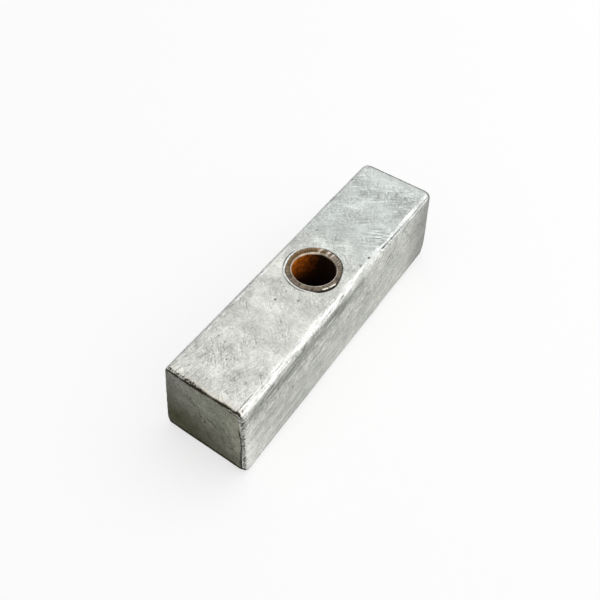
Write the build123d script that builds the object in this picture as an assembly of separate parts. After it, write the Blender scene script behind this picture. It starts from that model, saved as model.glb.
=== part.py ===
from build123d import *
import os
from math import radians, tan

# Bar anode for a ship's hull: a zinc block cast round a short length of steel pipe.
# The block lies along Y on its pour face, the wide one that was the open top of its mould.
# The origin is the middle of the pour face, with +Z up to the narrow face, the mould's floor.
# Lengths are millimetres and angles are degrees.

# Zinc block
bar_length = 200.0        # narrow face, along Y
bar_width = 50.0          # narrow face, along X
bar_height = 56.0         # pour face to narrow face
mould_draft = 2.5         # lean of the four sides, so that the block leaves its mould
corner_radius = 2.0       # upright edges
floor_edge_radius = 3.5   # edges round the narrow face
pour_edge_radius = 4.0    # edges round the pour face, where the metal drew in as it set

# Steel pipe sleeve for the fixing stud, cast in through the middle of the block
pipe_outer = 33.7
pipe_wall = 4.0
sleeve_proud = 0.8        # stands out of the narrow face, which shrank away from it
sleeve_mouth_bevel = 1.2  # inner edge at both ends, opened so that the stud finds its way in
sleeve_rim_radius = 0.5   # outer edge at both ends, where the saw burr was filed off
sleeve_fit = 0.0          # gap between the pipe and the zinc that set on it

# Narrow gutter in the zinc round the sleeve, left as the metal shrank
gutter_width = 1.0
gutter_depth = 1.1

pipe_radius = pipe_outer / 2
bore_radius = pipe_radius - pipe_wall
sleeve_top = bar_height + sleeve_proud
pour_length = bar_length + 2 * bar_height * tan(radians(mould_draft))
pour_width = bar_width + 2 * bar_height * tan(radians(mould_draft))
foot_radius = corner_radius + bar_height * tan(radians(mould_draft))

# solids of revolution stand on the pour face
standing = (Align.CENTER, Align.CENTER, Align.MIN)


def mould_shape():
    """The block as it fills the mould, before the sleeve's hole."""
    pour_face = RectangleRounded(pour_width, pour_length, foot_radius)
    narrow_face = Pos(0, 0, bar_height) * RectangleRounded(bar_width, bar_length, corner_radius)
    block = loft([pour_face, narrow_face], ruled=True)
    levels = block.faces().filter_by(Axis.Z).sort_by(Axis.Z)
    block = fillet(levels[-1].edges(), floor_edge_radius)
    levels = block.faces().filter_by(Axis.Z).sort_by(Axis.Z)
    return fillet(levels[0].edges(), pour_edge_radius)


def shrink_gutter():
    """Ring with a V section that is cut from the narrow face against the sleeve."""
    inner = pipe_radius + sleeve_fit
    section = Polyline(
        (inner, bar_height),
        (inner + gutter_width, bar_height),
        (inner, bar_height - gutter_depth),
        close=True,
    )
    return revolve(Plane.XZ * make_face(section), Axis.Z)


def make_casting():
    seat = Cylinder(pipe_radius + sleeve_fit, bar_height, align=standing)
    return mould_shape() - seat - shrink_gutter()


def make_sleeve():
    pipe = Cylinder(pipe_radius, sleeve_top, align=standing)
    pipe -= Cylinder(bore_radius, sleeve_top, align=standing)
    circles = pipe.edges().filter_by(GeomType.CIRCLE)
    mouths = circles.filter_by(lambda edge: edge.radius < pipe_radius - pipe_wall / 2)
    pipe = chamfer(mouths, sleeve_mouth_bevel)
    circles = pipe.edges().filter_by(GeomType.CIRCLE)
    rims = circles.filter_by(lambda edge: edge.radius > pipe_radius - pipe_wall / 4)
    return fillet(rims, sleeve_rim_radius)


os.makedirs("parts", exist_ok=True)
export_step(make_casting(), "parts/zinc_block.step")
export_step(make_sleeve(), "parts/steel_sleeve.step")
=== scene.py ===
import math

import bpy
import numpy as np
from mathutils import Matrix, Vector, noise


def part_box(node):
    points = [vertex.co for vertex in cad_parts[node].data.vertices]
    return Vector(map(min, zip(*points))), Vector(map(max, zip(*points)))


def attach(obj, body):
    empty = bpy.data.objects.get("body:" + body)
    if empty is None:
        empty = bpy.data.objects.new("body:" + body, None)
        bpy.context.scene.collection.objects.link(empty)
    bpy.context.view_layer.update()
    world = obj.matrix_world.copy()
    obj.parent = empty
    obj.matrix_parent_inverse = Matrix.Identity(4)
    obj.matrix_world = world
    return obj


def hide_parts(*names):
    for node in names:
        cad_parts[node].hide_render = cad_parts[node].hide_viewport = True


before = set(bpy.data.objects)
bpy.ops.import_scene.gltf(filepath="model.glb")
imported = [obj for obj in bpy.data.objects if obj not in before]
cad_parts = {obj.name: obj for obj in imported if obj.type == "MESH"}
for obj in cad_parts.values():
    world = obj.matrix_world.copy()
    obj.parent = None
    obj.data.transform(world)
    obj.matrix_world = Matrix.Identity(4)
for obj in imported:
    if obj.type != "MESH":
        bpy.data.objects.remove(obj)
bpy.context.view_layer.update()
mm = 0.001  # shapes are worked out in millimetres and made in metres


def smooth(value, low, high):  # 0 at low, 1 at high, a soft S between
    share = np.clip((value - low) / (high - low), 0, 1)
    return share * share * (3 - 2 * share)


def hump(value, width):  # 1 at zero, falling away like a bell
    return np.exp(-np.square(value / width))


def roll(points, size, octaves=2, shift=0.0):  # rolling noise, about -1 to 1, with waves size long
    spots = points / np.broadcast_to(np.asarray(size, float), 3) + shift
    return np.array([noise.fractal(spot, 1.0, 2.0, octaves) for spot in spots])


def makeMesh(name, points, faces, amounts):  # amounts are named, and for each point
    mesh = bpy.data.meshes.new(name)
    mesh.from_pydata((points * mm).tolist(), [], faces.tolist())
    mesh.validate()
    mesh.shade_smooth()
    for label, amount in amounts.items():
        mesh.attributes.new(label, "FLOAT", "POINT").data.foreach_set("value", np.clip(amount, 0, 1))
    thing = bpy.data.objects.new(name, mesh)
    bpy.context.scene.collection.objects.link(thing)
    return thing


def strips(rings):  # quads between each ring of point numbers and the next
    here, after = np.array(rings[:-1]), np.array(rings[1:])
    sides = (here, np.roll(here, -1, axis=1), np.roll(after, -1, axis=1), after)
    return np.stack(sides, axis=-1).reshape(-1, 4)


class Wire:  # an output socket that takes part in plain sums
    def __init__(self, shade, socket):
        self.shade = shade
        self.socket = socket

    def sum(self, operation, first, second):
        return self.shade.add("Math", {"operation": operation}, {0: first, 1: second})

    def __add__(self, other):
        return self.sum("ADD", self, other)

    def __radd__(self, other):
        return self.sum("ADD", other, self)

    def __sub__(self, other):
        return self.sum("SUBTRACT", self, other)

    def __rsub__(self, other):
        return self.sum("SUBTRACT", other, self)

    def __mul__(self, other):
        return self.sum("MULTIPLY", self, other)

    def __rmul__(self, other):
        return self.sum("MULTIPLY", other, self)


class Shade:  # the nodes of a material or a world
    def __init__(self, owner):
        owner.use_nodes = True
        self.owner = owner
        self.nodes = owner.node_tree.nodes
        self.links = owner.node_tree.links
        self.nodes.clear()

    def add(self, kind, settings=None, inputs=None, out=0):
        node = self.nodes.new("ShaderNode" + kind)
        for key, value in (settings or {}).items():
            setattr(node, key, value)
        for key, value in (inputs or {}).items():
            if isinstance(value, Wire):
                self.links.new(value.socket, node.inputs[key])
            else:
                node.inputs[key].default_value = value
        return Wire(self, node.outputs[out]) if len(node.outputs) else node

    def soft(self, value, low, high):  # 0 at low, 1 at high
        return self.add("MapRange", {"interpolation_type": "SMOOTHSTEP"},
                        {"Value": value, "From Min": low, "From Max": high})

    def bell(self, value, middle, width):  # 1 at middle, 0 from width away
        off = self.add("Math", {"operation": "ABSOLUTE"}, {0: value - middle})
        return 1 - self.soft(off, 0, width)

    def most(self, first, second):
        return self.add("Math", {"operation": "MAXIMUM"}, {0: first, 1: second})

    def mix(self, share, first, second):  # colours, each a socket or three numbers
        colours = [(*c, 1) if isinstance(c, tuple) else c for c in (first, second)]
        return self.add("Mix", {"data_type": "RGBA"}, {0: share, 6: colours[0], 7: colours[1]}, out=2)

    def along(self, place, direction):  # how far a place lies in one direction
        return self.add("VectorMath", {"operation": "DOT_PRODUCT"}, {0: place, 1: direction}, out=1)

    def away(self, place, spot):  # how far a place is from a spot
        return self.add("VectorMath", {"operation": "DISTANCE"}, {0: place, 1: spot}, out=1)

    def grain(self, place, size, turn=(0, 0, 0)):  # turns by degrees, then divides by a size on each axis
        radians = tuple(math.radians(a) for a in turn)
        return self.add("Mapping", {"vector_type": "TEXTURE"},
                        {"Vector": place, "Rotation": radians, "Scale": size})

    def scaled(self, colour, amount):
        return self.add("VectorMath", {"operation": "SCALE"}, {0: colour, "Scale": amount})

    def cloud(self, place, size, detail=3, rough=0.5, twist=0.0):  # noise about 0, size in millimetres
        return self.add("TexNoise", {}, {"Vector": place, "Scale": 1 / size, "Detail": detail,
                                         "Roughness": rough, "Distortion": twist}) - 0.5

    def ridges(self, place, size, turn, least):  # raised marks, and the light and dark of their flanks
        space = self.grain(place, size, turn)
        beside = self.add("VectorMath", {"operation": "ADD"}, {0: space, 1: (0.28, 0.1, 0.1)})
        raised, other = [self.soft(self.cloud(spot, 1, 1, 0.5, 0.4), least, least + 0.08)
                         for spot in (space, beside)]
        return raised, other - raised

    def hairs(self, place, size, turn, least):  # thin scratches, where another noise is above least
        waves = self.cloud(self.grain(place, size, turn), 1, 1)
        lines = self.add("Math", {"operation": "ABSOLUTE"}, {0: waves})
        area = self.soft(self.cloud(place, 12, 1), least, least + 0.06)
        return (1 - self.soft(lines, 0.005, 0.03)) * area

    def parts(self, vector):  # its three numbers
        return [self.along(vector, axis) for axis in ((1, 0, 0), (0, 1, 0), (0, 0, 1))]

    def place(self):  # where a point is, in millimetres
        return self.scaled(self.add("TexCoord", out="Object"), 1 / mm)

    def facing(self):  # which way the surface faces, as three numbers
        return self.parts(self.add("TexCoord", out="Normal"))

    def painted(self, name):  # an amount that the mesh carries at each point
        return self.add("Attribute", {"attribute_name": name}, out="Fac")

    def shown(self):  # 1 for rays that show the background, 0 for light on the object
        kinds = ("Is Camera Ray", "Is Glossy Ray", "Is Transmission Ray")
        camera, glossy, through = [self.add("LightPath", out=kind) for kind in kinds]
        return self.soft(camera + glossy + through, 0, 1)

    def finish(self, looks):
        surface = self.add("BsdfPrincipled", {}, looks)
        self.add("OutputMaterial", {}, {"Surface": surface})
        return self.owner


def boxOf(node):  # lowest and highest corner of a node, in millimetres
    return [np.array(corner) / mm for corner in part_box(node)]


# Zinc block. Right is +X, near is -Y, and each radius is that of an edge.
block = {
    "lean": 2.5,           # degrees that the four sides lean in
    "footRadius": 4.0,
    "rightFootRadius": 2.2,
    # upright edges: near left, far left, near right, far right
    "corners": (2.8, 4.8, 2.8, 5.6),      # at the top
    "lowCorners": (1.3, 3.0, 2.6, 1.4),   # lower down
    "footCorner": 2.0,     # what each one gains at the foot
    "rightRadius": 4.5,    # long upper edge, worn round as far as the flash
    "flashRadius": 3.4,    # the same edge beside the flash
    "leftRadius": 4.2,
    "nearRadius": 2.0,
    "farRadius": 3.4,
    "flashFrom": 37.0,     # stretch of the flash along the bar
    "flashTo": 95.0,
    # inner crease beside the flash: along the bar, and how far out, counted over the edge
    "seam": ((36, 50, 64, 82, 96), (23.65, 24.1, 24.7, 25.1, 24.7)),
    "collar": 19.6,        # half the square round the sleeve that has a mesh of rings
    "collarRings": 18,
    "edgeBand": 5.0,       # cells are fine within this of an edge
    "fineCell": 0.5,
    "cells": (0.8, 0.95, 0.62),  # elsewhere: across, along and up
    "topHalf": 25.0,       # half the width of the upper face
    # spots of the upper face with more of one mark, and how wide: combed, curled, streaked
    "spots": (((17.5, 46, 56), 10), ((8, 82, 56), 14), ((-18, 60, 56), 14)),
    "topColours": ((0.64, 0.645, 0.605), (0.63, 0.665, 0.642)),  # near half, far half, whose cooler tint is a painted sky reflection
    "sideColour": (0.64, 0.65, 0.605),
    # painted shade of an end: at its foot, and higher up on the left and on the right
    "endShadeColours": ((0.035, 0.034, 0.004), (0.243, 0.245, 0.213), (0.25, 0.254, 0.197)),
    "underColour": (0.42, 0.425, 0.40),
    # colour of the painted highlights on the edges
    "highlightColour": (0.84, 0.84, 0.825),
    "bloomColour": (0.78, 0.68, 0.54),    # tan stain behind the near edge
    # dark of dirt and of painted shade
    "grimeAndShadeColour": (0.045, 0.036, 0.025),
}
pits = [  # place on the upper face, across and along the bar, then radius
    (-5.0, -30.9, 0.8), (5.7, -24.3, 0.6), (4.1, -19.7, 0.45), (-16.0, 27.5, 0.65), (-14.4, -67.8, 0.6),
    (-9.7, -69.5, 0.65), (-2.1, -77.4, 0.5), (20.9, 26.5, 0.8), (20.3, 18.4, 0.7), (-6.6, -20.6, 0.5),
    (-8.2, -23.4, 0.4), (-9.6, -19.2, 0.4), (-3.4, -22.6, 0.35), (-15.2, -91.5, 0.4), (-21.6, -48.0, 0.5),
]
endPits = [(0.2, 28.3, 1.0), (18.5, 19.5, 0.8), (15.7, 35.9, 0.5), (13.3, 40.6, 0.5), (18.3, 38.0, 0.5),
           (-17.4, 50.6, 0.6), (-5.5, 38.0, 0.6), (9.0, 51.0, 0.45), (-25.2, 14.0, 1.0)]
endScars = [(-9.5, 44, -3.0, 34.5), (-3.0, 34.5, 0.5, 28), (2.5, 34, 10, 30)]  # across and up, from, to
gouges = [(-85.5, 48.8, 1.5), (-90.9, 43.4, 1.2), (-66.0, 46.0, 1.2)]  # right side: along, up, length
edgeNick = (-23.9, -18.7, 1.4)  # left edge: across, along, radius

blockLow, blockHigh = boxOf("zinc_block")
sleeveRadius, sleeveTop = boxOf("steel_sleeve")[1][[0, 2]]
height = blockHigh[2]
slope = math.tan(math.radians(block["lean"]))
upright = math.cos(math.radians(block["lean"]))
swell = block["footRadius"] * (slope + 1 / upright - 1)  # how far the foot's round keeps inside the lean
footX = blockHigh[0] + swell
footY = blockHigh[1] + swell

# Where zinc meets steel at the top, by degrees round from +X
joint = {
    "turn": (0, 20, 45, 90, 130, 158, 172, 190, 206, 222, 245, 270, 300, 315, 333, 350),
    # zinc over the pipe, zinc raised beside it with a painted highlight, a groove outside that painted
    # dark as shade, and an open gap painted dark as shade
    "cover": (0.8, 1.15, 0.5, 0.5, 0.4, 0.6, 0.95, 0.95, 0.85, 0.2, 0.1, 0, 0, 0, 0, 0.2),
    "lip": (0.1, 0.4, 0.6, 0.55, 0.2, 0.5, 0.8, 0.8, 0.5, 0.45, 0.7, 0.6, 0.45, 0, 0, 0),
    "crack": (0.1, 0.1, 0.1, 0.1, 0.05, 0.3, 0.9, 0.9, 0.6, 0.2, 0.1, 0, 0, 0, 0, 0),
    "gutter": (0.2, 0.4, 0.7, 0.65, 0, 0, 0, 0, 0, 0, 0, 0, 0, 0.9, 1.0, 0.9),
}


def jointAt(kind, points):
    turn = np.degrees(np.arctan2(points[:, 1], points[:, 0])) % 360
    return np.interp(turn, joint["turn"], joint[kind], period=360)


def holeRadius(points):
    return sleeveRadius - jointAt("cover", points)


def rounded(first, second, radius):  # two faces, as distances outside each, meeting in a round edge
    inside = np.minimum(-radius, np.maximum(first, second))
    return inside + np.hypot(np.maximum(radius + first, 0), np.maximum(radius + second, 0))


def blockDistance(points):  # how far a point is outside the bare block
    x, y, z = points.T
    side = (np.abs(x) - footX + z * slope) * upright
    end = (np.abs(y) - footY + z * slope) * upright
    which = 2 * (x > 0) + (y > 0)
    upper, lower = np.array(block["corners"])[which], np.array(block["lowCorners"])[which]
    corner = lower + (upper - lower) * np.clip(z / height, 0, 1) ** 2
    corner = corner + block["footCorner"] * smooth(-z, -9, 0)
    past = smooth(y, block["flashFrom"] - 1, block["flashFrom"] + 1)
    wobble = 0.3 * np.sin(y / 6.1) + 0.2 * np.sin(y / 3.7 + 1) + 0.25 * np.sin(y / 14)
    right = (block["rightRadius"] + wobble) * (1 - past) + block["flashRadius"] * past
    longEdge = np.where(x > 0, right, block["leftRadius"])
    endEdge = np.where(y < 0, block["nearRadius"], block["farRadius"])
    share = smooth(side - end, -2, 2)
    body = rounded(side, end, corner)
    body = rounded(body, z - height, endEdge + (longEdge - endEdge) * share)
    foot = block["footRadius"] + (block["rightFootRadius"] - block["footRadius"]) * share * (x > 0)
    return rounded(body, -z, foot)


def blockSkin(points, anchors):  # slides points along the lines from their anchors on to the block
    low, high = np.zeros(len(points)), np.ones(len(points))
    for halving in range(24):
        middle = (low + high) / 2
        out = blockDistance(anchors + (points - anchors) * middle[:, None]) > 0
        low, high = np.where(out, low, middle), np.where(out, middle, high)
    return anchors + (points - anchors) * high[:, None]


def blockNormals(points):
    step = np.eye(3) * 0.01
    slopes = np.stack([blockDistance(points + s) - blockDistance(points - s) for s in step], axis=-1)
    return slopes / np.linalg.norm(slopes, axis=1, keepdims=True)


def cellLines(length, coarse):  # from 0 to length, closer together at both ends
    rim = np.arange(0, block["edgeBand"] - 1e-6, block["fineCell"])
    span = length - 2 * block["edgeBand"]
    middle = np.linspace(block["edgeBand"], length - block["edgeBand"], round(span / coarse) + 1)
    return np.concatenate([rim, middle, length - rim[::-1]])


def sheetQuads(sheet, flip, skip=None):
    quads = np.stack([sheet[:-1, :-1], sheet[1:, :-1], sheet[1:, 1:], sheet[:-1, 1:]], axis=-1)
    if skip:
        keep = np.ones(quads.shape[:2], bool)
        keep[skip] = False
        quads = quads[keep]
    quads = quads.reshape(-1, 4)
    return quads[:, ::-1] if flip else quads


def blockMesh():  # points, outward directions and quads
    acrossLines = cellLines(2 * footX, block["cells"][0]) / footX - 1
    alongLines = cellLines(2 * footY, block["cells"][1]) / footY - 1
    upLines = cellLines(height, block["cells"][2])
    shell = np.ones((len(acrossLines), len(alongLines), len(upLines)), bool)
    shell[1:-1, 1:-1, 1:-1] = False
    number = np.full(shell.shape, -1)
    number[shell] = np.arange(shell.sum())
    i, j, k = np.nonzero(shell)
    z = upLines[k]
    x, y = acrossLines[i] * (footX - z * slope), alongLines[j] * (footY - z * slope)
    inset = block["edgeBand"]
    anchorZ = np.clip(z, inset, height - inset)
    limitX, limitY = footX - anchorZ * slope - inset, footY - anchorZ * slope - inset
    anchors = np.stack([np.clip(x, -limitX, limitX), np.clip(y, -limitY, limitY), anchorZ], axis=-1)
    points = blockSkin(np.stack([x, y, z], axis=-1), anchors)
    # the square of cells round the sleeve, and the ring of points at its edge
    i0 = np.searchsorted(acrossLines * footX, -block["collar"])
    j0 = np.searchsorted(alongLines * footY, -block["collar"])
    i1, j1 = len(acrossLines) - 1 - i0, len(alongLines) - 1 - j0
    hole = (slice(i0, i1), slice(j0, j1))
    walk = [(i, j0) for i in range(i0, i1)] + [(i1, j) for j in range(j0, j1)]
    walk += [(i, j1) for i in range(i1, i0, -1)] + [(i0, j) for j in range(j1, j0, -1)]
    walkI, walkJ = np.array(walk).T
    upperEdge, lowerEdge = number[walkI, walkJ, -1], number[walkI, walkJ, 0]
    rings, more = [upperEdge], []
    start = len(points)

    def addRing(spots):
        rings.append(start + len(walk) * len(more) + np.arange(len(walk)))
        more.append(spots)

    def onCircle(edge, radius=sleeveRadius):
        flat = points[edge] * (1, 1, 0)
        return flat / np.linalg.norm(flat, axis=1, keepdims=True) * np.reshape(radius, (-1, 1))

    steps = 1 - (1 - np.linspace(0, 1, block["collarRings"] + 1)[1:]) ** 1.35
    brink = onCircle(upperEdge, holeRadius(points[upperEdge])) + (0, 0, height)
    for step in steps:
        addRing(points[upperEdge] * (1 - step) + brink * step)
    for level in (height - 3, height / 2, 3):
        share = level / height
        ring = onCircle(upperEdge) * share + onCircle(lowerEdge) * (1 - share)
        ring *= sleeveRadius / np.linalg.norm(ring, axis=1, keepdims=True)
        addRing(ring + (0, 0, level))
    for step in [*steps[::-1][::2], 0]:
        if step:
            addRing(points[lowerEdge] * (1 - step) + onCircle(lowerEdge) * step)
    rings.append(lowerEdge)
    points = np.concatenate([points, *more])
    quads = np.concatenate([
        sheetQuads(number[:, :, -1], False, hole), sheetQuads(number[:, :, 0], True, hole),
        sheetQuads(number[-1], False), sheetQuads(number[0], True),
        sheetQuads(number[:, 0], False), sheetQuads(number[:, -1], True), strips(rings)])
    used, quads = np.unique(quads, return_inverse=True)
    return points[used], quads.reshape(-1, 4)


class Wear:  # what casting and handling did to the block, with painted highlights and painted shade, at each point of its mesh
    def __init__(self, points, normals):
        self.points = points
        self.x, self.y, self.z = points.T
        self.faceX, self.faceY, self.faceZ = normals.T
        self.up = smooth(self.faceZ, 0.6, 0.95)
        self.down = smooth(-self.faceZ, 0.6, 0.95)
        self.wall = 1 - np.maximum(self.up, self.down)
        self.front = smooth(-self.faceY, 0.35, 0.8)
        self.slow = roll(points, 33)
        self.quick = roll(points, 6.5, shift=20)
        self.knocks = roll(points, (4, 13, 4), 3, 60)
        self.ragged = roll(points, (2.6, 2.6, 9), 2, 80)
        self.relief = np.zeros(len(points))  # out of the bare block, in millimetres
        # dark dirt, with painted shade in creases, gaps, grooves and along the foot
        self.grimeAndShade = np.zeros(len(points))
        self.shine = np.zeros(len(points))  # painted highlights, where edges catch the light

    def lift(self, amount):
        self.relief = self.relief + amount

    def addGrimeAndShade(self, amount):
        self.grimeAndShade = np.maximum(self.grimeAndShade, amount)

    def paintHighlight(self, amount):
        self.shine = np.maximum(self.shine, amount)

    def mark(self, mask, depth, darkness):  # cuts a mark in and darkens it, with dirt and with painted shade in the hollow
        self.relief = self.relief - depth * mask
        self.addGrimeAndShade(darkness * mask)


def wavyFaces(wear):
    up, wall = wear.up, wear.wall
    wear.lift(wear.slow * (0.10 * up + 0.16 * wall) + wear.quick * (0.035 * up + 0.07 * wall))
    wear.lift(0.022 * wall * roll(wear.points, 2.1, 1, 40) - 0.2 * wall * smooth(10 - wear.z, 0, 8))


def rightEdge(wear):  # knocked about, with a painted highlight along it and a flash along its far half
    x, y, z = wear.x, wear.y, wear.z
    faceX, faceZ = wear.faceX, wear.faceZ
    knocks = wear.knocks
    edge = smooth(faceZ - 0.42 * smooth(y, -12, 34), 0.36, 0.8) * smooth(faceX, 0.06, 0.38)
    past = smooth(y, 34, 40)
    wear.lift(edge * (0.25 * knocks - 0.1))
    wear.paintHighlight(edge * smooth(knocks, -0.9, 0.0) * (1 - past))
    way = x + height - z  # from the middle, over the edge and down the side
    seam = np.interp(y, *block["seam"]) + 0.1 * np.sin(y / 2.3)
    highlightBand = past * smooth(x - 21.0 + 0.6 * knocks, 0, 1.3) * (0.85 + 0.4 * knocks)
    highlightBand = highlightBand * (1 - smooth(way - seam, -0.8, -0.3))
    highlightBand += (1 - past) * 0.45 * smooth(x + 1.5 * knocks, 18.8, 21.8) * (1 - smooth(way, 24, 26))
    wear.paintHighlight(highlightBand * smooth(faceZ, 0.3, 0.6))
    scored = hump(x - 20.3 - 0.05 * (y + 100) - 0.3 * knocks, 0.3) * smooth(knocks, -0.5, -0.1)
    wear.mark(scored * smooth(-y, 58, 66) * smooth(faceZ, 0.3, 0.6), 0.15, 0.6)
    # flash: a thin ridge between two creases, the creases painted dark as shade and the ridge given a
    # painted highlight
    start, stop = block["flashFrom"], block["flashTo"]
    stretch = smooth(y, start, start + 1) * (1 - smooth(y, stop - 4, stop)) * smooth(faceX, 0.1, 0.3)
    ending = 1 + 0.6 * (1 - smooth(y, start + 2, start + 7))
    fading = 1 - 0.4 * smooth(y, 52, 68)
    wear.mark(stretch * hump(way - seam, 0.36 * ending), 0.5 * fading, (0.85 + 0.25 * knocks) * fading)
    parted = smooth(roll(wear.points, (9, 7, 9), 1, 130), -0.3, 0.1)
    wear.mark(stretch * hump(way - seam - 3.2, 0.4) * parted, 0.25, 0.5)
    wear.lift(stretch * 0.25 * hump(way - seam - 1.7, 0.6))
    wear.paintHighlight(0.8 * stretch * hump(way - seam - 1.7, 0.7) * smooth(knocks, -0.7, 0.1))


def leftEdge(wear):  # dented, with a thin painted highlight along its top
    x, y, faceX, faceZ = wear.x, wear.y, wear.faceX, wear.faceZ
    thin = smooth(-faceX, 0.03, 0.15) * (1 - smooth(-faceX, 0.25, 0.45)) * smooth(faceZ, 0.5, 0.8)
    wear.paintHighlight(thin * (0.75 - 0.35 * smooth(y, -20, 20)))
    left = smooth(x, -18, -21.5) * smooth(faceZ, 0.3, 0.6)
    dents = smooth(roll(wear.points, (3, 3.2, 3), 2, 110), 0.1, 0.5)
    wear.mark(left * dents * smooth(y, -92, -84), 0.3, 0.3)


def nearEdge(wear):  # a ragged lip, a crease under it darkened as dirt and as the lip's painted shadow, and a row of dots behind it
    x, y, z, ragged = wear.x, wear.y, wear.z, wear.ragged
    reach = block["rightRadius"]
    inward = np.maximum(x - block["topHalf"] + reach, 0)
    drop = reach - np.sqrt(np.maximum(reach ** 2 - inward ** 2, 0.3))
    # from the sharp edge, over the top or down the end
    back = y + footY - height * slope - (height - drop - z)
    thick = 0.55 + 0.85 * hump(x + 5, 5) + 0.6 * hump(x - 12, 4) + 0.15 * smooth(x, 15, 18) + 0.2 * ragged
    level = 0.45 * smooth(x, -18, -2) + 0.6 * smooth(x, 8, 16) - 0.95
    level = level + 0.15 * np.sin(x / 4.5) + 0.45 * ragged
    span = smooth(x, -26, -23.5) * (1 - smooth(x, 23.6, 24.8)) * (y < -90)
    flecks = roll(wear.points, (1.1, 1.1, 2.2), 2, 170)
    broken = 0.25 + 0.75 * smooth(flecks, -0.75, -0.3)
    wear.mark(span * hump(back - level, thick * (1 + 0.4 * flecks)) * broken, 0.45, 1.15)
    wear.mark(span * hump(back - level + 1.9, 0.4) * smooth(x, 14, 17), 0.3, 0.9)
    wear.lift(span * hump(back - level - thick - 0.9, 0.7) * (0.1 + 0.3 * ragged))
    beat = x / 2.1 + 0.4 * np.sin(x * 0.9) + 0.15 * np.sin(x * 2.3)
    dots = hump(beat - np.round(beat), 0.4) * hump(back - 1.3 + 0.3 * np.sin(x * 2.1), 0.85)
    wear.mark(span * dots * (1 - smooth(x, -6, -1)) * (0.75 + 0.25 * ragged), 0.4, 1.4)
    frayed = smooth(ragged, 0.05, 0.35) * smooth(x, -12, -5)
    wear.mark(span * frayed * hump(back - level - 0.9, 0.7), 0.25, 1.0)


def nearCorner(wear):  # file marks down the upright edge at the near right, beside a dark line, with a painted highlight on the corner
    x, y, z = wear.x, wear.y, wear.z
    beyond = x - footX + y + footY  # from the corner, along the side or back along the end
    corner = (x > 0) * (1 - smooth(np.abs(wear.faceZ), 0.3, 0.6))
    # painted highlight on the rounded corner
    wear.paintHighlight((0.4 + 0.3 * wear.knocks) * corner * hump(beyond - 4, 1.5))
    soiled = smooth(beyond, -1.8, -1.0) * (1 - smooth(beyond, 0.2, 2.4)) * (1 - 0.5 * smooth(z, 38, 48))
    wear.addGrimeAndShade((0.43 + 0.15 * wear.ragged) * corner * soiled * (1 - smooth(z, 50, 54)))
    turn = z / 2.8 + 0.4 * np.sin(z / 5.7) + 0.25 * np.sin(z / 1.9) - 0.5 * (wear.faceX + wear.faceY)
    high = smooth(z, 24, 32)
    strength = 0.5 + 0.5 * smooth(roll(wear.points, (40, 40, 2.6), 1, 150), -0.5, 0.4)
    strength = np.maximum(strength, 0.9 * high) * (1 - 0.7 * (np.round(turn) % 2) * high)
    ticks = hump(turn - np.round(turn), 0.27) * hump(beyond - 0.2, 1.3) * strength * smooth(z, 2, 6)
    wear.mark(corner * ticks, 0.35, 1.0)
    leaning = beyond + 2.4 - 0.65 * smooth(z, 12, 27) + smooth(z, 32, 44)
    wear.mark(corner * hump(leaning, 0.9) * (1 - smooth(z, 39, 47)), 0.12, 0.74)


def pitsAndScars(wear):
    x, y, z, front = wear.x, wear.y, wear.z, wear.front
    upper, right = smooth(wear.faceZ, 0.3, 0.7), smooth(wear.faceX, 0.5, 0.9)
    for across, along, size in pits:
        wear.mark(hump(np.hypot(x - across, y - along), size) * upper, 0.45 * size, 0.9)
    for across, rise, size in endPits:
        wear.mark(hump(np.hypot(x - across, z - rise), size) * front, 0.45 * size, 0.8)
    for across, rise, across2, rise2 in endScars:
        run = Vector((across2 - across, rise2 - rise))
        share = np.clip(((x - across) * run.x + (z - rise) * run.y) / run.length_squared, 0, 1)
        off = np.hypot(x - across - share * run.x, z - rise - share * run.y)
        wear.mark(front * hump(off + 0.25 * wear.ragged, 0.8) * smooth(wear.ragged, -0.5, 0.1), 0.1, 0.5)
    for along, rise, size in gouges:
        lengthwise, across = (y - along + z - rise) * 0.707, (z - rise - y + along) * 0.707
        wear.mark(hump(lengthwise, size) * hump(across, 0.55) * right, 0.5, 0.75)
    across, along, size = edgeNick
    away = np.hypot(x - across, y - along) + 0.3 * np.abs(height - z)
    wear.mark(hump(away, size), 0.7, 0.7)


def roundSleeve(wear):  # a lip that laps the sleeve on the left, with a painted highlight, and a gutter on the right; the gutter, a groove and the joint are painted dark as shade
    points, radius = wear.points, np.hypot(wear.x, wear.y)
    gap = radius - holeRadius(points)
    close = wear.up * (radius < sleeveRadius + 5)
    lip = jointAt("lip", points)
    wear.lift(close * lip * (1 - smooth(gap, 0.9, 1.6)))
    wear.paintHighlight(close * 0.5 * smooth(lip, 0.2, 0.6) * (1 - smooth(gap, 0.8, 1.3)))
    wear.mark(close * jointAt("crack", points) * hump(gap - 1.7, 0.3), 0.5, 1.1)
    wear.mark(close * jointAt("gutter", points) * (1 - smooth(gap, 0.3, 0.85)), 1.0, 1.0)
    wear.mark(close * hump(gap + 0.05, 0.5) * (1 - lip * 0.9), 0.35, 1.0)


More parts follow.
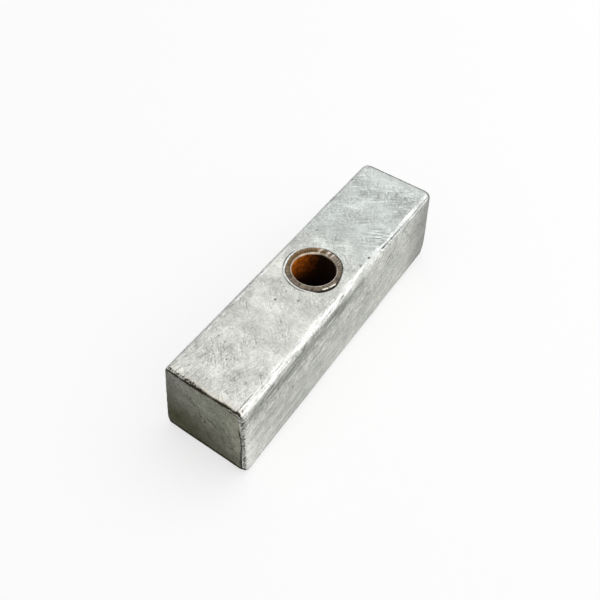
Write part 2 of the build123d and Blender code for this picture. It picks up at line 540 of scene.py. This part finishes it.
def edgeShadeAndHighlight(wear):  # painted shade on edges that turn away from the light and along the foot, where shade falls
    faceX, faceY, faceZ = wear.faceX, wear.faceY, wear.faceZ
    ragged, front = wear.ragged, wear.front
    wear.addGrimeAndShade((0.52 + 0.1 * ragged) * smooth(faceY, 0.03, 0.2) * smooth(faceZ, 0.05, 0.4))
    wear.addGrimeAndShade((0.36 + 0.15 * ragged) * smooth(-faceX, 0.4, 0.75) * smooth(faceZ, 0.15, 0.5))
    foot = 1 - smooth(wear.z - 2.6 * front - 0.8 * wear.slow, 1.0, 4.4)
    wear.addGrimeAndShade(foot * wear.wall * (0.45 + 0.5 * front + 0.25 * smooth(wear.y, 45, 75)))
    # upright edge at the near left: a faint painted highlight and dark nicks
    beside = smooth(-faceX, 0.15, 0.5) * smooth(-faceY, 0.2, 0.6)
    wear.paintHighlight(0.1 * beside * smooth(ragged, -0.3, 0.2))
    wear.mark(beside * smooth(-ragged, 0.2, 0.5), 0.25, 0.75)


def underside(wear):  # drawn in a little as it set, so it only ever lies above the floor
    outside = smooth(np.hypot(wear.x, wear.y), sleeveRadius, sleeveRadius + 3)
    wear.lift(-wear.down * outside * (0.06 + 0.12 * np.abs(wear.quick)))


def makeBlock():
    points, quads = blockMesh()
    inHole = np.hypot(points[:, 0], points[:, 1]) < sleeveRadius + 0.01
    inside = inHole & (points[:, 2] > 0.01) & (points[:, 2] < height - 0.01)
    normals = blockNormals(points)
    normals[inHole] = np.where(points[inHole, 2:] > height / 2, (0, 0, 1), (0, 0, -1))
    wear = Wear(points, normals)
    for treatment in (wavyFaces, rightEdge, leftEdge, nearEdge, nearCorner, pitsAndScars,
                      roundSleeve, edgeShadeAndHighlight, underside):
        treatment(wear)
    points = points + normals * np.where(inside, 0, wear.relief)[:, None]
    points = np.clip(points, blockLow, blockHigh + (0, 0, sleeveTop - height))
    return makeMesh("zinc_casting", points, quads, {"grimeAndShade": wear.grimeAndShade, "shine": wear.shine})


def zincMaterial():
    shade = Shade(bpy.data.materials.new("castZinc"))
    place = shade.place()
    x, y, z = shade.parts(place)
    faceX, faceY, faceZ = shade.facing()
    top = shade.soft(faceZ, 0.5, 0.85)
    nearEnd = shade.soft(faceY * -1, 0.35, 0.65) * (1 - shade.soft(faceX, 0.1, 0.28))
    end = shade.most(nearEnd, shade.soft(faceY, 0.6, 0.9))
    under = shade.soft(faceZ * -1, 0.5, 0.85)
    side = (1 - top) * (1 - end) * (1 - under)
    farHalf = shade.soft(y, -10, 45)
    clouds = shade.cloud(place, 14, 2, 0.45, 0.6)
    patches = shade.cloud(place, 10, 3, 0.5, 0.8)
    blots = shade.cloud(place, 5, 3, 0.5, 0.8)
    fine = shade.cloud(place, 1.4, 3, 0.6)
    speckle = shade.cloud(place, 0.6, 2, 0.6)

    # upper face: clouds of oxide, brushed across at the far half and lengthwise at the near one
    sweeps = shade.cloud(shade.grain(place, (9, 1.25, 9), (0, 0, 33)), 1, 2, 0.5, 0.2)
    strokes = shade.cloud(shade.grain(place, (0.6, 4.5, 9), (0, 0, -10)), 1, 2, 0.6, 0.4)
    sweepArea = shade.soft(shade.cloud(place, 16, 1), -0.02, 0.12) * farHalf
    strokeArea = 1 - shade.soft(y, -92, -40)
    topHairs = shade.hairs(place, (2.4, 14, 9), (0, 0, 25), -0.05)
    ripples, rippleFlanks = shade.ridges(place, (1.5, 6, 9), (0, 0, 35), 0.05)
    mottles, mottleFlanks = shade.ridges(place, (3.4, 2.2, 9), (0, 0, -20), 0.04)
    rippleArea = shade.soft(shade.cloud(place, 12, 1), -0.02, 0.08) * (1 - farHalf * 0.8)
    mottleArea = shade.soft(shade.cloud(place, 17, 1), -0.04, 0.06) * (0.35 + farHalf * 0.65)
    tone = 1.0 + clouds * 0.65 + blots * 0.45 + fine * 0.75 + speckle * 0.85
    tone = tone + shade.soft(clouds, 0.02, 0.2) * 0.08
    tone = tone + sweepArea * (shade.soft(sweeps, 0, 0.18) - 0.3) * 0.32 + farHalf * sweeps * 0.4
    tone = tone + strokeArea * strokes * 1.3 + topHairs * 0.1 + patches * (1 - farHalf) * 0.6
    tone = tone + rippleFlanks * rippleArea * 0.26
    tone = tone + mottleFlanks * mottleArea * 0.24 + mottles * mottleArea * 0.05
    combed, curled, streaked = [1 - shade.soft(shade.away(place, spot), 4, wide)
                                for spot, wide in block["spots"]]
    tone = tone + combed * (shade.soft(sweeps, -0.02, 0.1) - 0.4) * 0.28
    tone = tone + curled * (mottleFlanks * 0.16 + mottles * 0.1 + blots * 0.3)
    tone = tone + streaked * (shade.soft(strokes, 0.0, 0.14) - 0.35) * 0.25
    # the far half takes the cooler tint of a painted sky reflection
    topColour = shade.mix(farHalf, *block["topColours"])

    # long sides: scaly marks under the edge, then hair scratches that run along or slant back
    rightHalf = shade.soft(x, -10, 10)
    scaleArea = (0.3 + shade.soft(z + patches * 45, 16, 42) * 0.7) * (0.55 + rightHalf * 0.45)
    scales, scaleFlanks = shade.ridges(place, (1.4, 4.6, 1.3), (36, 0, 0), 0.04)
    marks = shade.cloud(shade.grain(place, (1.4, 22, 1.2), (4, 0, 0)), 1, 3, 0.6, 0.3)
    sideHairs = shade.hairs(place, (3, 26, 2.0), (6, 0, 0), -0.02)
    slantHairs = shade.hairs(place, (3, 12, 1.8), (-38, 0, 0), 0.03)
    sideTone = 1.03 + patches * 0.6 + clouds * 0.45 + marks * 1.25 + scaleFlanks * scaleArea * 0.45
    sideTone = sideTone + fine * 0.8 + speckle * 1.3
    sideTone = sideTone + sideHairs * 0.14 + slantHairs * 0.18
    # painted light brightening the side towards the near corner
    sideTone = sideTone * (1.24 - shade.soft(y + z * 0.5, -88, -66) * 0.32)
    # painted shade in a strip just under the highlighted edge
    shadedStrip = shade.bell(z, 48.5, 9) * shade.soft(y * -1, -34, 10) * rightHalf
    sideTone = sideTone * (1 - shadedStrip * (0.4 - marks * 1.8))
    # slightly lighter along the far half, then painted shade darkening towards the far end
    sideTone = sideTone * (1 + shade.soft(y, -60, 20) * 0.09) * (1 - shade.soft(y, 62, 103) * 0.52)

    # ends: painted shade, darkest at the foot and lighter to the upper right, over cast-skin marks
    slant = shade.cloud(shade.grain(place, (8, 5, 1.0), (0, 50, 0)), 1, 3, 0.6, 0.5)
    endBlots = shade.cloud(place, 8, 3, 0.55, 1.0)
    endHairs = shade.hairs(place, (16, 3, 2.2), (0, 46, 0), 0.0)
    endTone = 1 + slant * 1.4 + endBlots * 0.9 + fine * 1.3 + speckle * 2.2 + endHairs * 0.5
    # painted light on the upper right of an end
    endTone = endTone * (1 + shade.soft(x, 12, 22) * shade.soft(z, 2, 26) * 0.3)
    # painted shade darkening an end towards the foot and the left
    rise = shade.soft(z + x * 0.65 + patches * 18, -3, 53)
    foot, left, right = block["endShadeColours"]
    shadedEndColour = shade.mix(rise, foot, shade.mix(shade.soft(x, -22, 8), left, right))

    colour = shade.mix(side, shade.scaled(topColour, tone), shade.scaled(block["sideColour"], sideTone))
    colour = shade.mix(end, colour, shade.scaled(shadedEndColour, endTone))
    colour = shade.mix(under, colour, shade.scaled(block["underColour"], 1 + blots * 1.2 + fine * 0.8))

    # painted highlights on the edges, then grime and painted shade over everything
    ragged = shade.cloud(shade.grain(place, (0.7, 1.3, 0.7)), 1, 3, 0.6)
    shine, grimeAndShade = shade.painted("shine"), shade.painted("grimeAndShade")
    paintedHighlight = shine * (0.6 + shade.soft(ragged, -0.14, 0.04) * 0.4)
    dirtAndShade = shade.soft(grimeAndShade + ragged * 1.1, 0.12, 0.8) * shade.soft(grimeAndShade, 0.02, 0.12)
    bloom = shade.bell(y + ragged * 3, -97.6, 2.2) * top * shade.soft(ragged, -0.06, 0.08)
    bright = shade.scaled(block["highlightColour"], 1 + marks * 3.4 + fine * 1.2)
    colour = shade.mix(paintedHighlight * 0.9, colour, bright)
    colour = shade.mix(bloom * 0.55, colour, block["bloomColour"])
    colour = shade.mix(dirtAndShade, colour, block["grimeAndShadeColour"])

    rough = 0.38 + clouds * 0.35 + fine * 0.25 - paintedHighlight * 0.08 + dirtAndShade * 0.3
    metal = 0.5 + paintedHighlight * 0.35 - dirtAndShade * 0.3
    relief = sweeps * farHalf * 0.12 + strokes * strokeArea * 0.12 + ripples * rippleArea * 0.08
    relief = relief + mottles * mottleArea * 0.08 - topHairs * 0.03
    level = (fine * 0.16 + blots * 0.2 + speckle * 0.05 + relief * top
             + (scales * scaleArea * 0.1 + marks * 0.10 + (sideHairs + slantHairs) * 0.03) * side
             + (slant * 0.12 + endHairs * 0.04) * end)
    bump = shade.add("Bump", {}, {"Strength": 1.0, "Distance": mm, "Height": level})
    return shade.finish({"Base Color": colour, "Roughness": rough, "Metallic": metal, "Normal": bump,
                         "Specular IOR Level": 0.0})


# Steel sleeve
sleeve = {
    "wall": 4.0,
    "mouthBevel": 1.2,     # how far the mouth opens
    "mouthDepth": (1.35, 0.65, 125),   # how far down it starts: mean, swing, degrees to the deepest
    "rimRadius": 0.5,
    "turns": 288,          # points round it
    "filedAt": 78,         # degrees round to where the file went straight across
    "filed": ((25, 45, 114, 125), (0, 1, 1, 0)),   # how deeply, by degrees
    # file strokes, bright and dark: place across them, half width, how strong
    "cuts": ((-7.2, 0.4, 0.4), (-5.5, 0.35, 0.45), (-3.7, 0.3, 0.4), (-2.1, 0.3, 0.55), (-0.3, 0.75, 1.0),
             (2.9, 0.9, 1.0), (7.5, 0.6, 1.0)),
    "furrows": ((-6.3, 0.3, 0.5), (-4.6, 0.3, 0.5), (-1.4, 0.3, 0.9), (1.3, 0.6, 1.0), (4.9, 0.7, 0.9)),
    "glints": (16.1, 326, 344),      # two painted glints: how far out, and degrees round
    "burr": (112, 17),     # inside the far edge, with a painted glint: degrees round, half width
    "soiled": (250, 12),   # at the outer rim, the same
    # inner lip by degrees: how bright its painted highlight is, and how far out from the bore
    "lipHighlight": ((0, 30, 45, 105, 125, 185, 230, 265, 295, 345),
                  (1, 0.9, 0.3, 0.4, 1, 0.95, 0.8, 0.5, 0.6, 1)),
    "lipOut": ((95, 125, 185, 215), (0.4, 0.12, 0.12, 0.4)),
    "rustShadeLevels": (31, 51),            # rust in the bore fades into painted shade from the second down to the first
    # the face where it is plain, and where it is tan, inside and outside
    "browns": ((0.195, 0.162, 0.124), (0.19, 0.11, 0.052), (0.30, 0.215, 0.122)),
    "patchColour": (0.115, 0.062, 0.032),
    # dark of grime and of painted shade at the joint with the zinc
    "grimeAndShadeColour": (0.05, 0.04, 0.03),
    # colour of filed streaks and of painted glints
    "filedAndGlintColour": (0.95, 0.90, 0.81),
    "rustColour": (0.68, 0.175, 0.012),
    # black painted shade down the bore
    "boreShadeColour": (0.016, 0.006, 0.002),
    "lipHighlightColours": ((0.95, 0.87, 0.76), (1.0, 0.88, 0.69)),  # plain, tan
}
boreRadius = sleeveRadius - sleeve["wall"]


def sleeveProfile():  # radius and level of each ring, round the wall's section and back
    outer, inner, top = sleeveRadius, boreRadius, sleeveTop
    rim, bevel, deep = sleeve["rimRadius"], sleeve["mouthBevel"], sleeve["mouthDepth"][0]
    arc = np.radians(np.linspace(0, 90, 6))
    rimUp = [(outer - rim + rim * math.cos(a), top - rim + rim * math.sin(a)) for a in arc]
    ring = [(r, top) for r in np.arange(outer - rim - 0.25, inner + bevel, -0.25)]
    mouth = [(inner + bevel * s, top - deep * (1 - s)) for s in np.linspace(1, 0, 8)]
    upper = [(outer, level) for level in np.arange(top / 2 + 0.7, top - rim, 0.9)] + rimUp + ring + mouth
    upper += [(inner, level) for level in np.arange(top - deep - 0.6, top / 2 + 0.3, -0.6)]
    half = np.array(upper)
    return np.concatenate([half, half[::-1] * (1, -1) + (0, top)])


def makeSleeve():
    profile = sleeveProfile()
    count, top, inner = sleeve["turns"], sleeveTop, boreRadius
    turn = np.linspace(0, 2 * math.pi, count, endpoint=False)
    radius, level = [np.repeat(column, count) for column in profile.T]
    turn = np.tile(turn, len(profile))
    ways = np.stack([np.cos(turn), np.sin(turn), np.zeros(len(turn))], axis=-1)
    flat = ways * radius[:, None] + np.stack([0 * level, 0 * level, level], axis=-1)
    mouth = inner + sleeve["mouthBevel"]
    degrees = np.degrees(turn)
    deep, swing, deepest = sleeve["mouthDepth"]
    tilt = swing * np.cos(turn - math.radians(deepest))
    low = smooth(mouth + 0.05 - radius, 0, 1.2) * smooth(level, top - 9, top - deep)
    level = level - low * tilt

    # the zinc laps the rim, and the rim is drawn in under it
    upper = smooth(level, top - 4, top - 2.2) * smooth(radius, mouth, sleeveRadius - 1)
    radius = radius - upper * jointAt("cover", ways)
    # upper face: hammered, filed across on one side, with its inner edge left standing
    face = smooth(level, top - 0.6, top - 0.1) * smooth(radius, inner + 0.3, mouth)
    filed = np.interp(degrees, *sleeve["filed"])
    filed = filed * smooth(radius, inner + 0.1, inner + 0.6) * smooth(level, top - 2.6, top - 2.1)
    across = radius * np.sin(turn - math.radians(sleeve["filedAt"]))
    cuts, furrows = [sum(much * hump(across - spot, wide) for spot, wide, much in sleeve[kind])
                     for kind in ("cuts", "furrows")]
    level = level - face * (0.1 + 0.07 * roll(flat, 2.2, 2, 5) + filed * 0.16 * furrows)
    level = level - face * 0.16 * hump(radius - mouth - 1.1, 0.7)
    level = level + face * 0.12 * hump(radius - mouth, 0.3)
    # mouth, and the scale down the bore
    bore = smooth(inner + 0.4 - radius, 0, 0.2)
    radius = radius - face * 0.12 * roll(flat, (3, 3, 5), 2, 9) * (1 - bore)
    radius = radius - bore * 0.13 * np.clip(roll(flat, (2.6, 2.6, 3.4), 3, 15), -0.3, 0.6) + bore * 0.06
    burrAt, burrWide = sleeve["burr"]
    burr = hump(degrees - burrAt, burrWide) * hump(level - (top - deep - swing), 0.5)
    radius = radius - 0.55 * burr
    level = np.clip(level, 0, top)
    points = np.stack([ways[:, 0] * radius, ways[:, 1] * radius, level], axis=-1)
    rings = np.arange(len(points)).reshape(len(profile), count)
    # filed streaks, two painted glints and a painted glint on the burr, the inner lip's painted
    # highlight, and the joint with the zinc, dark with grime and painted shade
    patchy = roll(flat, 0.9, 2, 33)
    out, first, second = sleeve["glints"]
    spots = smooth(hump(degrees - first, 6) + hump(degrees - second, 8) + 0.3 * patchy, 0.35, 0.7)
    shine = 2.2 * face * spots * smooth(hump(radius - out + 0.2 * patchy, 0.5), 0.3, 0.7)
    shine = shine + filed * cuts * (0.75 + 0.3 * patchy) + 0.6 * burr
    lip = np.interp(degrees, *sleeve["lipHighlight"], period=360)
    lipAt = inner + np.interp(degrees, *sleeve["lipOut"], period=360)
    lip = lip * smooth(hump(radius - lipAt + 0.12 * patchy, 0.45), 0.15, 0.6)
    lip = lip * (1 - smooth(top - deep - tilt - level, 0.05, 0.4))
    grimeAndShade = smooth(radius - holeRadius(ways), -0.7, -0.1) * (1 - 0.8 * jointAt("lip", ways))
    grimeAndShade = np.maximum(grimeAndShade, 0.6 * filed * furrows)
    rimmed = smooth(radius, sleeveRadius - 0.7, sleeveRadius - 0.2)
    soiledAt, soiledWide = sleeve["soiled"]
    grimeAndShade = np.maximum(grimeAndShade, 0.8 * hump(degrees - soiledAt, soiledWide) * rimmed)
    shine = shine * np.where(degrees < 180, 1 - 0.8 * grimeAndShade, 1)
    amounts = {"shine": shine, "lip": lip, "grimeAndShade": grimeAndShade}
    return makeMesh("sleeve_pipe", points, strips([*rings, rings[0]]), amounts)


def steelMaterial():
    shade = Shade(bpy.data.materials.new("wornSteel"))
    place = shade.place()
    x, y, z = shade.parts(place)
    flat = shade.add("VectorMath", {"operation": "MULTIPLY"}, {0: place, 1: (1, 1, 0)})
    radius = shade.away(flat, (0, 0, 0))
    outward = shade.add("VectorMath", {"operation": "NORMALIZE"}, {0: flat})
    circled = shade.scaled(outward, 15)  # on one circle, so that its noise runs outwards
    slanted = shade.add("VectorMath", {"operation": "ADD"}, {0: circled, 1: shade.scaled(place, 0.25)})
    spokes = shade.cloud(slanted, 1.2, 3, 0.6)
    wash = shade.cloud(circled, 4, 2, 0.5)
    grains = shade.cloud(place, 1.1, 3, 0.6)
    blots = shade.cloud(place, 3.6, 3, 0.55, 0.6)
    inner, top = boreRadius, sleeveTop
    plain, tanInside, tanOutside = sleeve["browns"]

    # upper face: brown, tan round the far left, filed bright in streaks with painted glints, dark with
    # grime and painted shade where it meets the zinc
    tan = shade.soft(y * 0.7 - x + blots * 12, -4, 14)
    tone = 1 + grains * 1.5 + blots * 1.3 + spokes * 3.0 + wash * 1.6
    browned = shade.mix(shade.soft(radius + blots * 2, inner + 1.0, inner + 3.2), tanInside, tanOutside)
    colour = shade.scaled(shade.mix(tan, plain, browned), tone)
    colour = shade.mix(shade.soft(blots + spokes * 0.6, 0.02, 0.2) * 0.5, colour, sleeve["patchColour"])
    colour = shade.mix(shade.painted("grimeAndShade") * 0.8, colour, sleeve["grimeAndShadeColour"])
    colour = shade.mix(shade.painted("shine"), colour, sleeve["filedAndGlintColour"])

    # bore: orange rust, painted lit on the near left, fading with depth and round into black painted
    # shade
    bore = (1 - shade.soft(radius, inner + 0.1, inner + 0.25)) * (1 - shade.soft(z, top - 0.9, top - 0.6))
    fading = 0.06 + shade.soft(z, *sleeve["rustShadeLevels"]) * 0.94
    litRust = shade.soft(x * -0.82 - y * 0.5 + blots * 8, -4, 11) * fading
    rust = shade.scaled(sleeve["rustColour"], 1 + blots * 2.4 + grains * 1.5)
    boreShade = shade.scaled(sleeve["boreShadeColour"], 1 + grains * 2.5)
    colour = shade.mix(bore, colour, shade.mix(litRust, boreShade, rust))
    # painted highlight on the inner lip
    lip = shade.painted("lip") * (0.9 + spokes * 1.5)
    colour = shade.mix(lip, colour, shade.mix(tan, *sleeve["lipHighlightColours"]))

    rough = 0.5 + bore * 0.35 - lip * 0.15 + grains * 0.3
    metal = 0.55 - bore * 0.55
    level = grains * 0.16 + blots * 0.2 + spokes * 0.12
    bump = shade.add("Bump", {}, {"Strength": 1.0, "Distance": mm, "Height": level})
    return shade.finish({"Base Color": colour, "Roughness": rough, "Metallic": metal, "Normal": bump,
                         "Specular IOR Level": 0.1})


studio = {
    "skyLight": 0.42,      # on the object; what the camera sees of it is 1
    "skyGloss": 0.88,      # in reflections
    "floorSize": 12,       # metres
    "floorColour": (0.5, 0.5, 0.5),
    "floorGlow": (0.62, 0.2, 300, 2500),  # as seen: level, gain further out, where that starts and ends
    # place and size in metres, then watts
    "lamps": {"overhead": ((-0.1, 0.3, 1.5), 1.5, 4.5), "key": ((1.17, 0.63, 1.05), 3.2, 15)},
}


def makeStudio():
    scene = bpy.context.scene
    scene.view_settings.view_transform = "Standard"
    world = bpy.data.worlds.new("studio")
    scene.world = world
    sky = Shade(world)
    level = studio["skyLight"] + sky.shown() * (1 - studio["skyLight"])
    level = level - sky.add("LightPath", out="Is Glossy Ray") * (1 - studio["skyGloss"])
    back = sky.add("Background", {}, {"Color": (1, 1, 1, 1), "Strength": level})
    sky.add("OutputWorld", {}, {"Surface": back})

    bpy.ops.mesh.primitive_plane_add(size=studio["floorSize"])
    floor = bpy.context.object
    floor.name = "floor"
    paper = Shade(bpy.data.materials.new("paleFloor"))
    level, gain, gainFrom, gainTo = studio["floorGlow"]
    distance = paper.away(paper.place(), (0, 0, 0))
    seen = paper.shown() * (level + paper.soft(distance, gainFrom, gainTo) * gain)
    glow = paper.add("Emission", {}, {"Color": (1, 1, 1, 1), "Strength": seen})
    matt = paper.add("BsdfDiffuse", {}, {"Color": (*studio["floorColour"], 1)})
    paper.add("OutputMaterial", {}, {"Surface": paper.add("AddShader", {}, {0: glow, 1: matt})})
    floor.data.materials.append(paper.owner)

    for name, (spot, size, power) in studio["lamps"].items():
        lamp = bpy.data.lights.new(name, "AREA")
        lamp.size = size
        lamp.energy = power
        holder = bpy.data.objects.new(name, lamp)
        holder.location = spot
        holder.rotation_euler = (-Vector(spot)).to_track_quat("-Z", "Y").to_euler()
        scene.collection.objects.link(holder)


view = {
    "azimuth": 30.94,      # degrees round from looking along the bar
    "elevation": 50.84,
    "roll": 4.14,
    "distance": 443.32,    # millimetres from the point it looks at
    "aim": (-17.20, 15.64, 0),
    "lens": 40.72,         # millimetres
    "sensor": 36,
}


def makeCamera():
    around, above = math.radians(view["azimuth"]), math.radians(view["elevation"])
    level = math.cos(above)
    back = Vector((math.sin(around) * level, -math.cos(around) * level, math.sin(above)))
    right = Vector((0, 0, 1)).cross(back).normalized()
    lens = bpy.data.cameras.new("camera")
    lens.lens = view["lens"]
    lens.sensor_width = view["sensor"]
    camera = bpy.data.objects.new("camera", lens)
    turn = Matrix((right, back.cross(right), back)).transposed()
    camera.matrix_world = (turn @ Matrix.Rotation(math.radians(view["roll"]), 3, "Z")).to_4x4()
    camera.location = (Vector(view["aim"]) + back * view["distance"]) * mm
    bpy.context.scene.collection.objects.link(camera)
    bpy.context.scene.camera = camera


makeCamera()
makeStudio()
print("camera and studio ready")

zincBlock = makeBlock()
zincBlock.data.materials.append(zincMaterial())
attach(zincBlock, "root")
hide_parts("zinc_block")
print("zinc block:", len(zincBlock.data.polygons), "faces")

steelSleeve = makeSleeve()
steelSleeve.data.materials.append(steelMaterial())
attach(steelSleeve, "root")
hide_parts("steel_sleeve")
print("steel sleeve:", len(steelSleeve.data.polygons), "faces")
